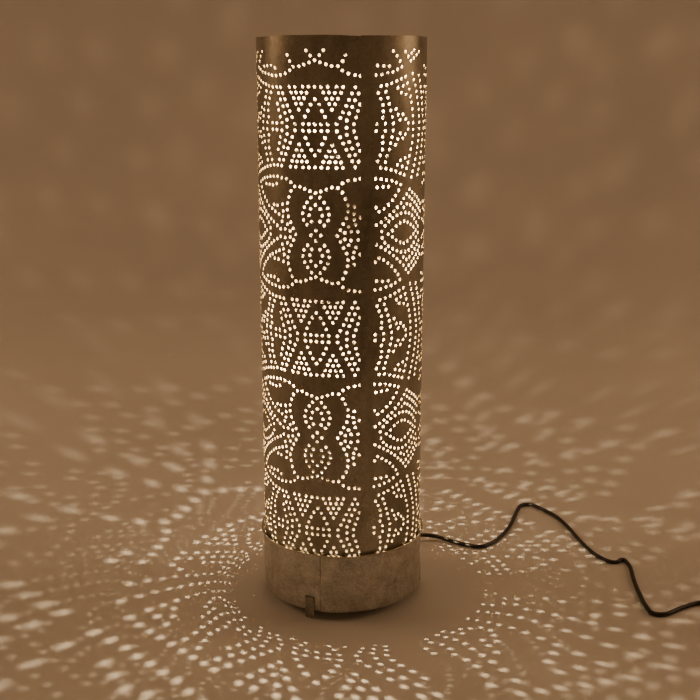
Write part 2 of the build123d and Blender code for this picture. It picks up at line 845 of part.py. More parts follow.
with BuildPart() as switch_base:
    with BuildSketch():
        with Locations(switch_at):
            shell_outline(0)
    extrude(amount=switch_split)
    fillet(switch_base.edges().group_by(Axis.Z)[0], 1.5)
    with BuildSketch(Plane.XY.offset(switch_wall)):
        with Locations(switch_at):
            shell_outline(switch_wall)
    extrude(amount=switch_split, mode=Mode.SUBTRACT)
    with BuildSketch(Plane.XY.offset(switch_wall)):
        with Locations(*screw_points):
            Circle(post_r)
    extrude(amount=switch_split - switch_wall)
    with BuildSketch():
        with Locations(*screw_points):
            Circle(screw_shank_r + 0.4)
    extrude(amount=switch_split, mode=Mode.SUBTRACT)
    with BuildSketch():
        with Locations(*screw_points):
            Circle(screw_head_r + 0.1)
    extrude(amount=screw_sunk + screw_head_height, mode=Mode.SUBTRACT)
    with BuildSketch(Plane.XZ.offset(-(sy + switch_length))):
        with Locations((sx, switch_split)):
            Circle(entry_r)
    extrude(amount=2 * switch_length, mode=Mode.SUBTRACT)
save(switch_base.part, "switch_base")

rocker_window = (10.2, 21.4)
with BuildPart() as switch_cover:
    with BuildSketch(Plane.XY.offset(switch_split)):
        with Locations(switch_at):
            shell_outline(0)
    extrude(amount=switch_top - switch_split)
    fillet(switch_cover.edges().group_by(Axis.Z)[-1], 2.0)
    with BuildSketch(Plane.XY.offset(switch_split)):
        with Locations(switch_at):
            shell_outline(switch_wall)
    extrude(amount=cavity_top - switch_split, mode=Mode.SUBTRACT)
    # ears that carry the rocker, and two posts for the screws
    with BuildSketch(Plane.XY.offset(ear_bottom)):
        with Locations((sx - 6.4, sy), (sx + 6.4, sy)):
            Rectangle(2.4, 6.0)
    extrude(amount=cavity_top - ear_bottom + 0.5)
    with BuildSketch(Plane.XY.offset(cover_post_bottom)):
        with Locations(*screw_points):
            Circle(post_r)
            Circle(screw_shank_r + 0.05, mode=Mode.SUBTRACT)
    extrude(amount=cavity_top - switch_split)
    with BuildSketch(Plane.XY.offset(switch_split)):
        with Locations(switch_at):
            Rectangle(*rocker_window)
    extrude(amount=switch_top, mode=Mode.SUBTRACT)
    with BuildSketch(Plane.YZ.offset(sx)):
        with Locations((sy, rocker_pivot_z)):
            Circle(bearing_r + pin_clearance)
    extrude(amount=7.0, both=True, mode=Mode.SUBTRACT)
    with BuildSketch(Plane.XZ.offset(-(sy + switch_length))):
        with Locations((sx, switch_split)):
            Circle(entry_r)
    extrude(amount=2 * switch_length, mode=Mode.SUBTRACT)
save(switch_cover.part, "switch_cover")

with BuildPart() as switch_screws:
    with BuildSketch(Plane.XY.offset(screw_sunk)):
        with Locations(*screw_points):
            Circle(screw_head_r)
    extrude(amount=screw_head_height)
    with BuildSketch(Plane.XY.offset(screw_sunk + screw_head_height)):
        with Locations(*screw_points):
            Circle(screw_shank_r)
    extrude(amount=11.0)
    with BuildSketch(Plane.XY.offset(screw_sunk)):
        with Locations(*screw_points):
            Rectangle(3.4, 0.6)
            Rectangle(0.6, 3.4)
    extrude(amount=0.7, mode=Mode.SUBTRACT)
save(switch_screws.part, "switch_screws")

# two L-shaped contacts stand on the base under the rocker's ends
contact_width = 7.0
contact_wall = 0.8
with BuildPart() as switch_contacts:
    for end in (-1, 1):
        with BuildSketch(Plane.XY.offset(switch_wall)):
            with Locations((sx, sy + end * 12)):
                Rectangle(contact_width, 9.0)
        extrude(amount=contact_wall)
        with BuildSketch(Plane.XY.offset(switch_wall)):
            with Locations((sx, sy + end * 8)):
                Rectangle(contact_width, contact_wall)
        extrude(amount=4.6)
save(switch_contacts.part, "switch_contacts")

rocker_end = 5.0                # heights about the rocker's own axis
rocker_dip = 4.2
rocker_waist = 2.5
rocker_outline = [(-rocker_half, rocker_waist), (-3.0, -rocker_waist)]
rocker_outline += [(3.0, -rocker_waist), (rocker_half, rocker_waist)]
bridge_thickness = 0.6
with BuildPart() as rocker_neutral:
    with BuildSketch(Plane.YZ):
        with BuildLine():
            Polyline(*rocker_outline)
            Line((rocker_half, rocker_waist), (rocker_half, rocker_end))
            ThreePointArc((rocker_half, rocker_end), (0, rocker_dip), (-rocker_half, rocker_end))
            Line((-rocker_half, rocker_end), (-rocker_half, rocker_waist))
        make_face()
    extrude(amount=4.9, both=True)
    fillet(rocker_neutral.edges().filter_by(Axis.X).group_by(Axis.Z)[-1], 0.8)
    with BuildSketch(Plane.YZ):
        Circle(bearing_r)
    extrude(amount=6.6, both=True)
with BuildPart() as bridge_neutral:
    with BuildSketch(Plane.YZ):
        with Locations((0, -rocker_waist - bridge_thickness / 2)):
            Rectangle(6.0, bridge_thickness)
    extrude(amount=3.0, both=True)

rocker_place = Location((sx, sy, rocker_pivot_z), (rocker_on_tilt, 0, 0))
save(rocker_neutral.part.moved(rocker_place), "switch_rocker")
save(bridge_neutral.part.moved(rocker_place), "switch_bridge")

# ---------------------------------------------------------------- plug

plug_front = plug_at[1] + plug_length
pins_at = [(plug_at[0] + side * plug_pin_spacing / 2, plug_axis_z) for side in (-1, 1)]
pin_root = 10.0                 # length of the thinner root moulded into the body
pin_root_r = 1.5


def plug_section(y, width, thickness):
    """A sketch of the plug's oval section at this y."""
    with BuildSketch(Plane.XZ.offset(-y)) as section:
        with Locations((plug_at[0], plug_axis_z)):
            RectangleRounded(width, thickness, thickness / 2 - 0.1)
    return section.sketch


with BuildPart() as plug_body:
    loft(
        [
            plug_section(plug_at[1], 9.0, 9.0),
            plug_section(plug_at[1] + 9.0, 11.0, 10.0),
            plug_section(plug_at[1] + 22.0, 27.0, plug_thickness),
            plug_section(plug_front, plug_width, plug_thickness),
        ]
    )
    with BuildSketch(Plane.XZ.offset(-plug_front)):
        with Locations(*pins_at):
            Circle(pin_root_r)
    extrude(amount=pin_root, mode=Mode.SUBTRACT)
    with BuildSketch(Plane.XZ.offset(-plug_at[1])):
        with Locations((plug_at[0], plug_axis_z)):
            Circle(cord_r)
    extrude(amount=-cord_entry, mode=Mode.SUBTRACT)
save(plug_body.part, "plug_body")

with BuildPart() as plug_pins:
    with BuildSketch(Plane.XZ.offset(-plug_front)):
        with Locations(*pins_at):
            Circle(plug_pin_r)
    extrude(amount=-plug_pin_length)
    with BuildSketch(Plane.XZ.offset(-(plug_front - pin_root))):
        with Locations(*pins_at):
            Circle(pin_root_r)
    extrude(amount=-pin_root)
    fillet(plug_pins.edges().filter_by(GeomType.CIRCLE).group_by(Axis.Y)[-1], 1.2)
save(plug_pins.part, "plug_pins")
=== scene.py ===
import json
import math
import random

import bpy
from mathutils import Matrix, Vector
from mathutils.geometry import delaunay_2d_cdt

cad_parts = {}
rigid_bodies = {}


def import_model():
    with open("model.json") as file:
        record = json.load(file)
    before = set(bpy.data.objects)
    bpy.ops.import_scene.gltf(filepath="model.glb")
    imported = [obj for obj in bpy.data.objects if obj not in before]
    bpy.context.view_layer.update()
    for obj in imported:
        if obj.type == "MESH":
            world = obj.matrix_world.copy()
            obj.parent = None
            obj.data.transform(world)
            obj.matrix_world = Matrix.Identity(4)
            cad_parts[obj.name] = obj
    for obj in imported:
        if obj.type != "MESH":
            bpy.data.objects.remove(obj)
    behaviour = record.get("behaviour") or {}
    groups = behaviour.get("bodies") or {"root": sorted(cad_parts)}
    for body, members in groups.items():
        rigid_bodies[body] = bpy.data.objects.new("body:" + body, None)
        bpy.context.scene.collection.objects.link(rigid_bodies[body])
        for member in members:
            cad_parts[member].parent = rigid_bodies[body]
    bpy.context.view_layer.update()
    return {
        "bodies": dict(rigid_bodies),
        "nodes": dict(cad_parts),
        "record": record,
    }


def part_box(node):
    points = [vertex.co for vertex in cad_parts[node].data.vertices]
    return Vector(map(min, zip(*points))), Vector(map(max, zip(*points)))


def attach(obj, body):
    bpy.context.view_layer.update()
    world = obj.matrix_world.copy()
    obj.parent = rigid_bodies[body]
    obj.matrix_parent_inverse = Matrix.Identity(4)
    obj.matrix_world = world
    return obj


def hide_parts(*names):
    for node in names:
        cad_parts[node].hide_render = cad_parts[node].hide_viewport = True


# A lit, perforated table lantern on a pale cove. Every place is measured on the CAD nodes. The two
# sheet-metal pieces, the punched shade and the drum, are made flat in millimetres and rolled up.

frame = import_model()
nodes = frame["nodes"]
MM = 0.001


def middle(node):
    """The middle of a CAD node's box."""
    low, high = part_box(node)
    return (low + high) / 2


deck = middle("deck_plate")
home = Vector((deck.x, deck.y, 0.0))
DRUM_LAP = math.radians(-14.8)      # where the drum's outer sheet end stands off
shade_low, shade_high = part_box("shade")
shade_top = shade_high.z / MM
shade_length = (shade_high.z - shade_low.z) / MM
shade_r = (shade_high.x - shade_low.x) / 2 / MM


# ---------------------------------------------------------------- node materials

def new_material(name):
    """A material with its node tree and its surface shader."""
    mat = bpy.data.materials.new(name)
    mat.use_nodes = True
    tree = mat.node_tree
    return mat, tree, tree.nodes["Principled BSDF"]


def add(tree, kind, **values):
    """A new node; each value sets an input by name, or a property of the node."""
    node = tree.nodes.new(kind)
    for key, value in values.items():
        name = key.replace("_", " ").title()
        if name in node.inputs:
            node.inputs[name].default_value = value
        else:
            setattr(node, key, value)
    return node


def noise(tree, scale, detail=4.0, roughness=0.55, stretch=(1.0, 1.0, 1.0), distortion=0.0):
    """Noise in object space, so its scale is in features per metre; stretch scales each axis."""
    where = add(tree, "ShaderNodeTexCoord")
    mapping = add(tree, "ShaderNodeMapping", Scale=stretch)
    tree.links.new(where.outputs["Object"], mapping.inputs["Vector"])
    tex = add(tree, "ShaderNodeTexNoise", Scale=scale, Detail=detail, Roughness=roughness,
              Distortion=distortion)
    tree.links.new(mapping.outputs["Vector"], tex.inputs["Vector"])
    return tex.outputs["Fac"]


def ramp(tree, value, stops):
    """A value turned into a colour; stops are (value, colour)."""
    node = add(tree, "ShaderNodeValToRGB")
    while len(node.color_ramp.elements) < len(stops):
        node.color_ramp.elements.new(0.5)
    for element, (position, colour) in zip(node.color_ramp.elements, stops):
        element.position = position
        element.color = (*colour, 1.0)
    tree.links.new(value, node.inputs["Fac"])
    return node.outputs["Color"]


def spread(tree, value, low, high, start=0.3, end=0.7):
    """Maps a noise value from start..end to low..high."""
    node = add(tree, "ShaderNodeMapRange")
    node.inputs["From Min"].default_value = start
    node.inputs["From Max"].default_value = end
    node.inputs["To Min"].default_value = low
    node.inputs["To Max"].default_value = high
    tree.links.new(value, node.inputs["Value"])
    return node.outputs["Result"]


def mixed(tree, factor, a, b, mode="MIX"):
    """Two colours mixed; each argument is a plain value or another node's output."""
    node = add(tree, "ShaderNodeMix")
    node.data_type = "RGBA"
    node.blend_type = mode
    for socket, value in ((node.inputs[0], factor), (node.inputs[6], a), (node.inputs[7], b)):
        if isinstance(value, (int, float)):
            socket.default_value = value
        elif isinstance(value, tuple):
            socket.default_value = (*value, 1.0)
        else:
            tree.links.new(value, socket)
    return node.outputs[2]


def bumps(tree, shader, *layers):
    """Chains bump nodes; each layer is (height, strength, distance in metres)."""
    previous = None
    for height, strength, distance in layers:
        node = add(tree, "ShaderNodeBump", Strength=strength, Distance=distance)
        tree.links.new(height, node.inputs["Height"])
        if previous is not None:
            tree.links.new(previous, node.inputs["Normal"])
        previous = node.outputs["Normal"]
    tree.links.new(previous, shader.inputs["Normal"])


def maths(tree, operation, *values):
    """One maths operation on other nodes' outputs."""
    node = add(tree, "ShaderNodeMath")
    node.operation = operation
    for socket, value in zip(node.inputs, values):
        tree.links.new(value, socket)
    return node.outputs[0]


def lap_crease_shade(tree, azimuth):
    """How much painted shade, a dark crease along the lap, lies at a point: most on the lap's line, none 0.4
    to 1.3 mm beside it.
    """
    place = add(tree, "ShaderNodeTexCoord").outputs["Object"]
    turned = add(tree, "ShaderNodeMapping")
    turned.vector_type = "TEXTURE"
    turned.inputs["Location"].default_value = home
    turned.inputs["Rotation"].default_value = (0, 0, azimuth)
    tree.links.new(place, turned.inputs["Vector"])
    wobble = noise(tree, 60.0, 3.0)
    across = add(tree, "ShaderNodeSeparateXYZ")
    tree.links.new(turned.outputs["Vector"], across.inputs["Vector"])
    width = spread(tree, wobble, 0.0004, 0.0013)
    share = maths(tree, "DIVIDE", maths(tree, "ABSOLUTE", across.outputs["X"]), width)
    ahead = spread(tree, across.outputs["Y"], 1.0, 0.0, -0.001, 0.001)
    return maths(tree, "MULTIPLY", spread(tree, share, 0.75, 0.0, 0.2, 1.0), ahead)


def metal(name, dark, light, rough, blotch, grain, dents=0.0, stretch=(1, 1, 1), wear=None,
          speckle=(0.86, 1.08), metallic=1.0, lap=None):
    """Worn metal: blotches from dark to light, speckles, uneven roughness and a fine grain.

    Dents, worn spots and painted shade along a lap at an azimuth are added if asked.
    """
    mat, tree, shader = new_material(name)
    shader.inputs["Metallic"].default_value = metallic
    tone = noise(tree, blotch, 7.0, 0.62, stretch, 0.3)
    colour = ramp(tree, tone, [(0.32, dark), (0.68, light)])
    dots = noise(tree, grain * 0.36, 5.0, 0.7)
    pepper = ramp(tree, dots, [(0.36, (speckle[0],) * 3), (0.64, (speckle[1],) * 3)])
    colour = mixed(tree, 1.0, colour, pepper, "MULTIPLY")
    if wear is not None:
        spots = noise(tree, blotch * 5, 6.0, 0.7)
        colour = mixed(tree, spread(tree, spots, 0.0, 0.55, 0.52, 0.72), colour, wear)
    if lap is not None:
        # painted shade: a dark line in the crease beside the lap
        colour = mixed(tree, lap_crease_shade(tree, lap), colour, (0.15, 0.13, 0.10))
    tree.links.new(colour, shader.inputs["Base Color"])
    fine = noise(tree, grain, 3.0, 0.6)
    uneven = noise(tree, blotch * 2.3, 6.0, 0.65, stretch)
    tree.links.new(spread(tree, uneven, rough[0], rough[1]), shader.inputs["Roughness"])
    layers = [(fine, 0.12, 0.0002)]
    if dents:
        layers.append((noise(tree, 38.0, 2.0, 0.5), dents, 0.0016))
    bumps(tree, shader, *layers)
    return mat


def plastic(name, colour, rough, grain=900.0, strength=0.08):
    """Moulded plastic or rubber with a faint cloudiness and a fine grain."""
    mat, tree, shader = new_material(name)
    cloud = noise(tree, 70.0, 5.0, 0.6)
    shade = tuple(c * 0.8 for c in colour)
    tree.links.new(ramp(tree, cloud, [(0.35, shade), (0.65, colour)]), shader.inputs["Base Color"])
    uneven = spread(tree, noise(tree, 260.0, 4.0), rough - 0.06, rough + 0.08)
    tree.links.new(uneven, shader.inputs["Roughness"])
    bumps(tree, shader, (noise(tree, grain, 4.0, 0.6), strength, 0.0002))
    return mat


def lit_glass(name, tint):
    """Clear lamp glass. Shadow rays pass it, so the filament inside lights the lantern."""
    mat, tree, shader = new_material(name)
    shader.inputs["Base Color"].default_value = (*tint, 1.0)
    shader.inputs["Transmission Weight"].default_value = 1.0
    shader.inputs["IOR"].default_value = 1.47
    tree.links.new(spread(tree, noise(tree, 40.0, 3.0), 0.0, 0.03), shader.inputs["Roughness"])
    bumps(tree, shader, (noise(tree, 55.0, 2.0), 0.03, 0.0008))
    path = add(tree, "ShaderNodeLightPath")
    clear = add(tree, "ShaderNodeBsdfTransparent")
    clear.inputs["Color"].default_value = (0.97, 0.96, 0.94, 1.0)
    join = add(tree, "ShaderNodeMixShader")
    tree.links.new(path.outputs["Is Shadow Ray"], join.inputs["Fac"])
    tree.links.new(shader.outputs["BSDF"], join.inputs[1])
    tree.links.new(clear.outputs["BSDF"], join.inputs[2])
    tree.links.new(join.outputs["Shader"], tree.nodes["Material Output"].inputs["Surface"])
    return mat


def glowing(name, colour, strength):
    """Hot wire that gives its own light."""
    mat, tree, shader = new_material(name)
    shader.inputs["Base Color"].default_value = (0.3, 0.28, 0.26, 1.0)
    shader.inputs["Metallic"].default_value = 1.0
    hot = ramp(tree, noise(tree, 400.0, 2.0), [(0.3, tuple(c * 0.9 for c in colour)), (0.7, colour)])
    tree.links.new(hot, shader.inputs["Emission Color"])
    shader.inputs["Emission Strength"].default_value = strength
    return mat


finishes = {
    "plated_sheet": metal(
        "plated_sheet", (0.25, 0.23, 0.175), (0.47, 0.435, 0.36), (0.24, 0.42), 30.0, 1700.0,
        dents=0.22, stretch=(1.0, 1.0, 0.35), wear=(0.52, 0.48, 0.40), speckle=(0.80, 1.10)),
    "inner_sheet": metal(
        "inner_sheet", (0.36, 0.31, 0.24), (0.50, 0.45, 0.36), (0.60, 0.80), 55.0, 1500.0,
        dents=0.10, wear=(0.26, 0.22, 0.16), metallic=0.25),
    # the drum's colour carries painted shade along its lap
    "plated_drum": metal(
        "plated_drum", (0.37, 0.35, 0.31), (0.64, 0.62, 0.57), (0.36, 0.60), 80.0, 2100.0,
        dents=0.30, wear=(0.80, 0.78, 0.74), speckle=(0.74, 1.18), lap=DRUM_LAP),
    # bare cut metal of the sheets' edges and hole walls, made paler than the plating: partly the bare metal,
    # partly a painted highlight on rims and holes
    "bare_edge_and_highlight": metal(
        "bare_edge_and_highlight", (0.62, 0.54, 0.36), (0.86, 0.77, 0.55), (0.34, 0.52), 120.0, 1500.0, metallic=0.6),
    "plated_strap": metal(
        "plated_strap", (0.27, 0.25, 0.21), (0.48, 0.455, 0.41), (0.34, 0.52), 160.0, 1500.0,
        dents=0.12, wear=(0.60, 0.57, 0.52), speckle=(0.70, 1.15)),
    "zinc_steel": metal(
        "zinc_steel", (0.48, 0.49, 0.50), (0.70, 0.71, 0.72), (0.28, 0.44), 140.0, 2200.0),
    "brass": metal("brass", (0.62, 0.43, 0.16), (0.82, 0.62, 0.28), (0.20, 0.34), 160.0, 2400.0),
    "nickel": metal("nickel", (0.62, 0.60, 0.56), (0.80, 0.78, 0.74), (0.16, 0.30), 160.0, 2400.0),
    "tungsten": glowing("tungsten", (1.0, 0.72, 0.38), 60.0),
    "bulb_glass": lit_glass("bulb_glass", (1.0, 0.98, 0.95)),
    "black_plastic": plastic("black_plastic", (0.022, 0.021, 0.020), 0.34),
    "white_plastic": plastic("white_plastic", (0.78, 0.77, 0.73), 0.36),
    "black_rubber": plastic("black_rubber", (0.016, 0.015, 0.015), 0.42, 1400.0, 0.16),
    "core_insulation": plastic("core_insulation", (0.30, 0.16, 0.08), 0.40),
}


def dress(obj, material):
    """Gives an object this one material."""
    obj.data.materials.clear()
    obj.data.materials.append(material)


for part in frame["record"]["subparts"]:
    dress(nodes[part["node"]], finishes[part["material_slot"]])


# ---------------------------------------------------------------- the punched pattern, mm

# x is the distance round the shade from the middle of a column; y is the distance below the
# middle of a band. Each line of holes is drawn once, above the middle, and mirrored below it.
HOLE_R = 1.30
STEP = 5.4
CLOSEST = 3.9                       # no two holes are punched nearer than this
BAND = 89.9                         # height of a band; band_a and band_b take turns
BAND_A = 74.4                       # the middle of the first band_a below the rim


def chain(*points):
    """Holes at an even step along a line through the points, both ends included."""
    legs = [(Vector(a), Vector(b)) for a, b in zip(points, points[1:])]
    total = sum((b - a).length for a, b in legs)
    count = max(1, round(total / STEP))
    holes = []
    for i in range(count + 1):
        left = total * i / count
        for a, b in legs:
            reach = (b - a).length
            if left <= reach + 1e-6:
                spot = a.lerp(b, min(1.0, left / reach))
                holes.append((spot.x, spot.y))
                break
            left -= reach
    return holes


def row(y, *xs):
    """Holes at the same height."""
    return [(x, y) for x in xs]


def triangle(x, y, count, pitch, drop):
    """Rows of count, count - 1, ... holes, each row lower than the last."""
    holes = []
    for i in range(count):
        left = x - (count - 1 - i) / 2 * pitch
        holes += [(left + k * pitch, y + i * drop) for k in range(count - i)]
    return holes


band_a = (
    row(-32.8, 0, 5.5, 11, 18.4, 23.8)
    + triangle(14.7, -28.2, 4, 4.9, 4.6)
    + chain((0, -22.7), (4, -18), (8.8, -8.6))
    + row(-2.8, 0, 5.4, 10.8, 18.6)
    + chain((33.8, -32.4), (18.8, -3))
    + chain((36.6, -27.5), (31, -16.5), (26.8, -6), (26.8, 0))
    + chain((38, -19), (32.8, -3))
    + chain((33, -32.3), (44, -32.5), (56, -34.5), (66, -37.5), (75.5, -40.8))
    + row(-2.8, 39, 45)
    + chain((46.5, -28), (51.2, -18.5), (51.6, -12), (51, -8), (53.6, -2.9))
    + chain((54, -29), (58.5, -16.5), (62, -2.8))
    + chain((66.8, -31.6), (78.2, -35.3))
    + chain((70.5, -27.8), (82.3, -24.7))
    + chain((64.7, -14.8), (69.5, -5.5))
    + chain((72.7, -9.9), (80, -2.6))
    + chain((75.5, -40.8), (82, -25.5), (86.4, -12), (87.2, -2.8))
    + chain((85.3, -43.2), (92, -27.5), (96.4, -13.5), (98.5, -2.8))
    + chain((96, -42), (102, -28), (106, -12), (107, -2.8))
)
band_b = (
    chain((0, -35.8), (9.5, -39.1), (14.5, -40.6), (19.5, -40.6))
    + chain((23.4, -44.1), (28.4, -46.7), (39, -48.2), (50, -47.2), (61.5, -45), (71, -41.2))
    + row(-48.2, 38.2)                  # ends the line above at the seam, and is too near it elsewhere
    + chain((40.5, -41.9), (46, -40.2), (57.5, -40.6))
    + row(-23.4, 39.8, 45)
    + chain((33, -14), (42.6, -17.3), (51.6, -21.3), (61, -28), (68.3, -35.5), (71, -41.2))
    + chain((82.5, -36.3), (74, -27.8), (64.5, -19.9), (54.5, -13.3), (45.5, -8.3), (36.4, -3.4))
    + chain((82.5, -36.3), (95, -28.9), (107, -19.5))
    + chain((83, -29.8), (92.5, -24.3), (102.8, -15.8))
    + chain((75.2, -21.8), (80.5, -24.8), (86, -21.3), (94.5, -15.3), (100.5, -10))
    + chain((51, -2.9), (54.2, -7.6), (59, -11.8), (70.3, -16.6), (77.5, -17), (83.5, -15.8),
            (89.5, -12.3), (98.5, -3))
    + chain((57.5, 0), (66.5, -6.2), (72.5, -9.4), (78, -9.6), (88.5, -4.3), (94, 0))
    + chain((4, -32), (7.7, -27.8), (10.7, -23), (11.8, -17.7), (10.7, -12.6), (7.6, -8.6))
    + chain((0, -26.1), (4.3, -22.7), (5.8, -17.4), (3.9, -11.8))
    + chain((0, -4.3), (4.3, 0))
    + chain((23.4, -36.5), (27.4, -28), (28, -21), (27, -15.8), (18.8, 0))
    + chain((33.2, -24.7), (32, -14.7), (25.1, -2.7))
    + chain((34.4, -9.8), (30.5, -3.7))
    + row(-3.7, 35.8)
)

# The middles of the columns, as distances round the shade from the front. The holes right of the
# seam belong to the front column, but the lap has moved them along.
FULL_TURN = 2 * math.pi * shade_r
FRONT = -22.0
BEYOND_SEAM = -14.5
RIGHT = 140.2
LEFT = 294.6
# (middle, side that x runs to, nearest x, furthest x)
columns = [
    (FRONT, -1, 0.0, 106.5),
    (FRONT, 1, 0.0, 38.3),
    (BEYOND_SEAM, 1, 44.3, 106.5),
    (RIGHT, -1, 0.0, 47.5),
    (RIGHT, 1, 0.0, 77.2),
    (LEFT, -1, 0.0, 77.2),
    (LEFT, 1, 0.0, 47.5),
]

CELL = 5.0                          # points are looked up by square cells of this size


def keep(cells, t, v):
    """Stores a point in its cell."""
    cells.setdefault((int(t // CELL), int(v // CELL)), []).append((t, v))


def near(cells, t, v, reach):
    """True if a stored point lies within reach of (t, v)."""
    i, j = int(t // CELL), int(v // CELL)
    around = (h for a in (-1, 0, 1) for b in (-1, 0, 1) for h in cells.get((i + a, j + b), ()))
    return any(math.hypot(t - h[0], v - h[1]) < reach for h in around)


def punched(first, last):
    """Every hole as (distance round, distance below the rim), none closer than CLOSEST."""
    holes, cells = [], {}
    for centre, side, nearest, furthest in columns:
        for k in range(-1, 7):
            band = band_a if k % 2 == 0 else band_b
            for x, y in band:
                if not nearest <= x <= furthest:
                    continue
                for half in (1, -1):
                    s = (centre + side * x) % FULL_TURN
                    v = BAND_A + BAND * k + half * y
                    if not first <= v <= last:
                        continue
                    if near(cells, s, v, CLOSEST):
                        continue
                    keep(cells, s, v)
                    holes.append((s, v))
    return holes


# ---------------------------------------------------------------- the rolled, punched shade

SEAM_EDGE = math.radians(22.2) * shade_r
LAP = 12.5                          # how far the sheet's inner end runs on behind the outer one
WALL = 0.6
SIDES = 12                          # corners of a punched hole
WANDER = 0.22                       # a hand-punched hole is off its mark by up to this
random.seed(11)


def eased(value, start, end):
    """Goes smoothly from 0 at start to 1 at end."""
    t = max(0.0, min(1.0, (value - start) / (end - start)))
    return t * t * (3 - 2 * t)


def placed(r, angle, z):
    """The point at this radius (mm), bearing from the front and height (mm), in metres."""
    return (home.x + r * math.sin(angle) * MM, home.y - r * math.cos(angle) * MM, z * MM)


def shade_point(t, v, depth):
    """A point of the shade's flat sheet, t from its outer end and v below its rim, once rolled up."""
    angle = (SEAM_EDGE - t) / shade_r
    # the inner end tucks in behind the outer end
    tuck = (WALL + 0.06) * eased(t, FULL_TURN - 75, FULL_TURN - 9)
    # the wall is slightly wavy down to where the drum holds it, and the outer end lifts a little
    wave = 0.10 * (1 + math.sin(3 * angle + 0.9 + v / 90)) + 0.07 * (1 + math.sin(7 * angle - v / 37))
    wave *= 1 - eased(v, 430, 450)
    lift = 0.035 * (1 + math.sin(t / 3.1)) * eased(14 - t, 0, 14)
    inward = (wave + lift) * (1 - eased(t, FULL_TURN - 20, FULL_TURN))
    # the rim is cut unevenly and dips at the lap
    dip = 0.28 * (1 + math.sin(4 * angle + 0.4)) + 0.12 * (1 + math.sin(11 * angle))
    dip += 0.8 * math.exp(-((t - 7) / 11) ** 2)
    z = shade_top - v - dip * (1 - eased(v, 0, 14))
    return placed(shade_r - tuck - depth - inward, angle, z)


def circle(t, v, radius, sides, phase=0.0):
    """A round cut, as a polygon turned by phase of one side."""
    turns = [2 * math.pi / sides * (k + phase) for k in range(sides)]
    return [(t + radius * math.cos(a), v + radius * math.sin(a)) for a in turns]


MARGIN = 1.1                        # grid points keep this far from a cut
WIDE = 3.5                          # a cut wider than this could hold grid points, which are left out


def flat_faces(grid, cuts):
    """The corners and triangles of a flat sheet with its cuts, and the directed edges of its borders."""
    corners, rings, cells, wide = [], [], {}, []
    for cut in cuts:
        rings.append(list(range(len(corners), len(corners) + len(cut))))
        corners += [Vector(corner) for corner in cut]
        for t, v in cut:
            keep(cells, t, v)
        left, right = min(t for t, _ in cut), max(t for t, _ in cut)
        low, high = min(v for _, v in cut), max(v for _, v in cut)
        if right - left > WIDE:
            wide.append((left, right, low, high))
    for t, v in grid:
        hidden = any(left < t < right and low < v < high for left, right, low, high in wide)
        if not hidden and not near(cells, t, v, MARGIN):
            corners.append(Vector((t, v)))
    points, _, triangles, _, _, inside_of = delaunay_2d_cdt(corners, [], rings, 0, 1e-6, True)
    faces, borders = [], {}
    for triangle_corners, cut in zip(triangles, inside_of):
        if cut:
            continue
        a, b, c = (points[i] for i in triangle_corners)
        turn = (b.x - a.x) * (c.y - a.y) - (b.y - a.y) * (c.x - a.x)
        face = tuple(triangle_corners) if turn > 0 else tuple(reversed(triangle_corners))
        faces.append(face)
        for i, j in zip(face, face[1:] + face[:1]):
            if (j, i) in borders:
                del borders[(j, i)]
            else:
                borders[(i, j)] = True
    return points, faces, list(borders)


def sheet_piece(name, columns_at, rows_at, cuts, rolled_up, wall, outside, inside):
    """A closed sheet-metal piece: a flat sheet with cuts, given its wall by rolled_up(t, v, depth).

    Each cut is a closed run of (t, v) corners.
    """
    grid = [(t, v) for v in rows_at for t in columns_at]
    points, front, borders = flat_faces(grid, cuts)
    count = len(points)
    back = [tuple(i + count for i in reversed(face)) for face in front]
    edges = [(j, i, i + count, j + count) for i, j in borders]
    faces = front + back + edges
    verts = [rolled_up(p.x, p.y, depth) for depth in (0.0, wall) for p in points]
    used = sorted({i for face in faces for i in face})
    renumber = {old: new for new, old in enumerate(used)}
    mesh = bpy.data.meshes.new(name)
    mesh.from_pydata([verts[i] for i in used], [], [tuple(renumber[i] for i in face) for face in faces])
    # the third finish is for the cut edges and hole walls: bare metal with a painted highlight
    for finish in (outside, inside, "bare_edge_and_highlight"):
        mesh.materials.append(finishes[finish])
    mesh.polygons.foreach_set("use_smooth", [True] * len(faces))
    mesh.polygons.foreach_set(
        "material_index", [0] * len(front) + [1] * len(back) + [2] * len(edges))
    mesh.validate()
    mesh.set_sharp_from_angle(angle=math.radians(40))
    obj = bpy.data.objects.new(name, mesh)
    bpy.context.scene.collection.objects.link(obj)
    return obj


def steps(start, end, size):
    """Even steps of about this size from start to end, both included."""
    count = max(1, round((end - start) / size))
    return [start + (end - start) * i / count for i in range(count + 1)]


def punched_shade():
    """The shade: one sheet with all its holes, rolled up and lapped."""
    width = FULL_TURN + LAP
    bottom = shade_length - 0.02
    cuts = []
    for s, v in punched(11.5, bottom - 11):
        t = (SEAM_EDGE - s) % FULL_TURN + random.uniform(-WANDER, WANDER)
        v += random.uniform(-WANDER, WANDER)
        cuts.append(circle(t, v, HOLE_R * random.uniform(0.96, 1.04), SIDES, random.random()))
    obj = sheet_piece("shade_sheet", steps(0, width, 4.2), steps(0, bottom, 8.5), cuts, shade_point, WALL,
                      "plated_sheet", "inner_sheet")
    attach(obj, "shade")
    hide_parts("shade")


punched_shade()


# ---------------------------------------------------------------- the drum's lapped, flared sheet

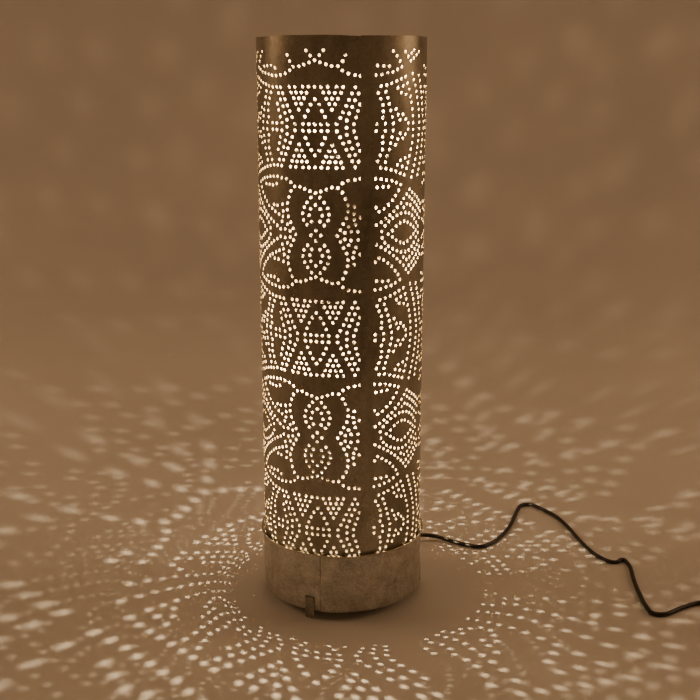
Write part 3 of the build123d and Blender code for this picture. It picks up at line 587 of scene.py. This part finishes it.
drum_low, drum_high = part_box("base_drum")
DRUM_BOTTOM = drum_low.z / MM
DRUM_TOP = drum_high.z / MM
DRUM_R = 76.1                       # outside of the drum's wall
DRUM_WALL = 0.7
LIP_R = 3.4                         # inside radius of the flared lip
LIP_ANGLE = math.radians(75)
LIP_START = DRUM_TOP - (LIP_R + DRUM_WALL) * math.sin(LIP_ANGLE)
LIP_BEND = (LIP_R + DRUM_WALL / 2) * LIP_ANGLE
RISE = LIP_START - DRUM_BOTTOM
FEET = [math.radians(a) for a in (-22.7, 97.3, 217.3)]
SLOT_HALF = 4.9
SLOT_LOW = 19.2 - DRUM_BOTTOM
SLOT_HIGH = 22.4 - DRUM_BOTTOM
CORD_HOLE = math.radians(145)
CORD_HOLE_R = 4.0
DRUM_TURN = 2 * math.pi * DRUM_R
DRUM_LAP_OVER = 7.0


def drum_point(t, v, depth):
    """A point of the drum's flat sheet, t from its outer end and v above its lower edge, rolled up."""
    angle = DRUM_LAP + t / DRUM_R
    # the outer end stands off the drum, and the lip is ragged
    lifted = (DRUM_WALL + 0.4) * (1 - eased(t, 5, 30))
    ragged = 0.22 * math.sin(6 * angle + 1.1) + 0.16 * math.sin(13 * angle) + 0.10 * math.sin(29 * angle + 2)
    if v <= RISE:
        r, z = DRUM_R - depth, DRUM_BOTTOM + v
    else:
        bend = (v - RISE) / (LIP_R + DRUM_WALL / 2)
        share = bend / LIP_ANGLE
        r = DRUM_R + LIP_R - (LIP_R + depth) * math.cos(bend) + share * (0.35 * ragged - 0.12)
        z = LIP_START + (LIP_R + depth) * math.sin(bend) - share * (0.55 + 0.7 * ragged)
    # shallow dents, except at the feet and the inner end, and a slightly rolled lower edge
    dent = 0.16 * math.sin(2 * angle + 0.7) + 0.12 * math.sin(5 * angle + v / 21)
    dent += 0.10 * math.sin(9 * angle - v / 13)
    foot = min(abs((angle - a + math.pi) % (2 * math.pi) - math.pi) for a in FEET)
    free = eased(foot, 0.07, 0.16) * (1 - eased(t, DRUM_TURN - 16, DRUM_TURN - 6))
    r += lifted + (0.10 + 0.5 * dent) * free - 0.25 * (1 - eased(v, 0, 3))
    z += 0.25 * (1 + math.sin(3 * angle)) * (1 - eased(v, 0, 5))
    return placed(r, angle, z)


def drum_sheet():
    """The base drum: one sheet with its foot slots and cord hole, rolled up, lapped and flared."""
    cuts = []
    for foot in FEET:
        t = ((foot - DRUM_LAP) % (2 * math.pi)) * DRUM_R
        left, right = t - SLOT_HALF, t + SLOT_HALF
        cuts.append([(left, SLOT_LOW), (right, SLOT_LOW), (right, SLOT_HIGH), (left, SLOT_HIGH)])
    cord_t = (CORD_HOLE - DRUM_LAP) * DRUM_R
    cord_v = middle("cable_grommet").z / MM - DRUM_BOTTOM
    cuts.append(circle(cord_t, cord_v, CORD_HOLE_R, 32))
    rows_at = steps(0, RISE, 3.2) + steps(RISE, RISE + LIP_BEND, 0.55)[1:]
    obj = sheet_piece("drum_sheet", steps(0, DRUM_TURN + DRUM_LAP_OVER, 2.4), rows_at, cuts, drum_point,
                      DRUM_WALL, "plated_drum", "plated_drum")
    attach(obj, "base")
    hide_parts("base_drum")


drum_sheet()


# ---------------------------------------------------------------- floor, light, camera

COVE_FLAT = 1.35                    # metres from here on
COVE_BEND = 0.95
COVE_TOP = 3.6
COVE_SIDES = 96


def studio_floor():
    """A pale paper cove: flat round the lantern, curving up on every side far from it."""
    profile = [(COVE_FLAT * k / 4, 0.0) for k in range(1, 5)]
    for k in range(1, 11):
        bend = math.radians(9 * k)
        profile.append((COVE_FLAT + COVE_BEND * math.sin(bend), COVE_BEND * (1 - math.cos(bend))))
    profile.append((COVE_FLAT + COVE_BEND, COVE_TOP))
    round_it = [2 * math.pi * k / COVE_SIDES for k in range(COVE_SIDES)]
    sunk = -0.0002
    verts = [(home.x, home.y, sunk)]
    for r, z in profile:
        verts += [(home.x + r * math.cos(a), home.y + r * math.sin(a), z + sunk) for a in round_it]
    pairs = [(k, (k + 1) % COVE_SIDES) for k in range(COVE_SIDES)]
    faces = [(0, 1 + k, 1 + after) for k, after in pairs]
    for i in range(len(profile) - 1):
        here = 1 + i * COVE_SIDES
        above = here + COVE_SIDES
        faces += [(here + k, above + k, above + after, here + after) for k, after in pairs]
    mesh = bpy.data.meshes.new("floor")
    mesh.from_pydata(verts, [], faces)
    mesh.polygons.foreach_set("use_smooth", [True] * len(faces))
    obj = bpy.data.objects.new("floor", mesh)
    bpy.context.scene.collection.objects.link(obj)
    mat, tree, shader = new_material("floor_paper")
    paper = ramp(tree, noise(tree, 3.0, 5.0), [(0.3, (0.60, 0.57, 0.53)), (0.7, (0.66, 0.63, 0.59))])
    tree.links.new(paper, shader.inputs["Base Color"])
    shader.inputs["Roughness"].default_value = 0.8
    dress(obj, mat)


studio_floor()

WARM = (1.0, 0.61, 0.33)


def area(name, place, aim, size, power):
    """A round soft light at a place, aimed at a point, both measured from the lantern's foot."""
    data = bpy.data.lights.new(name, "AREA")
    data.shape = "DISK"
    data.size = size
    data.energy = power
    data.color = WARM
    obj = bpy.data.objects.new(name, data)
    obj.location = home + Vector(place)
    obj.rotation_euler = (Vector(aim) - Vector(place)).to_track_quat("-Z", "Y").to_euler()
    bpy.context.scene.collection.objects.link(obj)


area("key", (-1.75, 0.30, 1.15), (0, 0.2, 0.25), 1.1, 8.0)
area("fill", (1.75, 0.30, 1.0), (0, 0.2, 0.25), 1.1, 7.2)
area("top", (0.1, 0.75, 2.1), (0, 0.45, 0.2), 1.4, 5.6)

# the lamps' own light: small, so that the holes throw sharp dots, and moving with each bulb
for lamp in ("upper", "lower"):
    data = bpy.data.lights.new(f"{lamp}_glow", "POINT")
    data.energy = 9.0
    data.color = (1.0, 0.74, 0.46)
    data.shadow_soft_size = 0.0012
    obj = bpy.data.objects.new(f"{lamp}_glow", data)
    obj.location = middle(f"{lamp}_bulb_filament")
    bpy.context.scene.collection.objects.link(obj)
    obj.parent = frame["bodies"][f"{lamp}_bulb_tip"]

world = bpy.data.worlds.new("studio")
world.use_nodes = True
background = world.node_tree.nodes["Background"]
background.inputs["Color"].default_value = (1.0, 0.60, 0.32, 1.0)
background.inputs["Strength"].default_value = 0.05
bpy.context.scene.world = world

camera = bpy.data.objects.new("camera", bpy.data.cameras.new("camera"))
camera.location = home + Vector((0.0075, -1.0165, 0.4911))
pitch = Matrix.Rotation(math.radians(90 - 13.994), 3, "X")
roll = Matrix.Rotation(math.radians(0.012), 3, "Z")
camera.rotation_euler = (pitch @ roll).to_euler()
camera.data.lens = 57.56
camera.data.sensor_width = 36.0
camera.data.clip_start = 0.01
camera.data.clip_end = 100.0
bpy.context.scene.collection.objects.link(camera)
bpy.context.scene.camera = camera
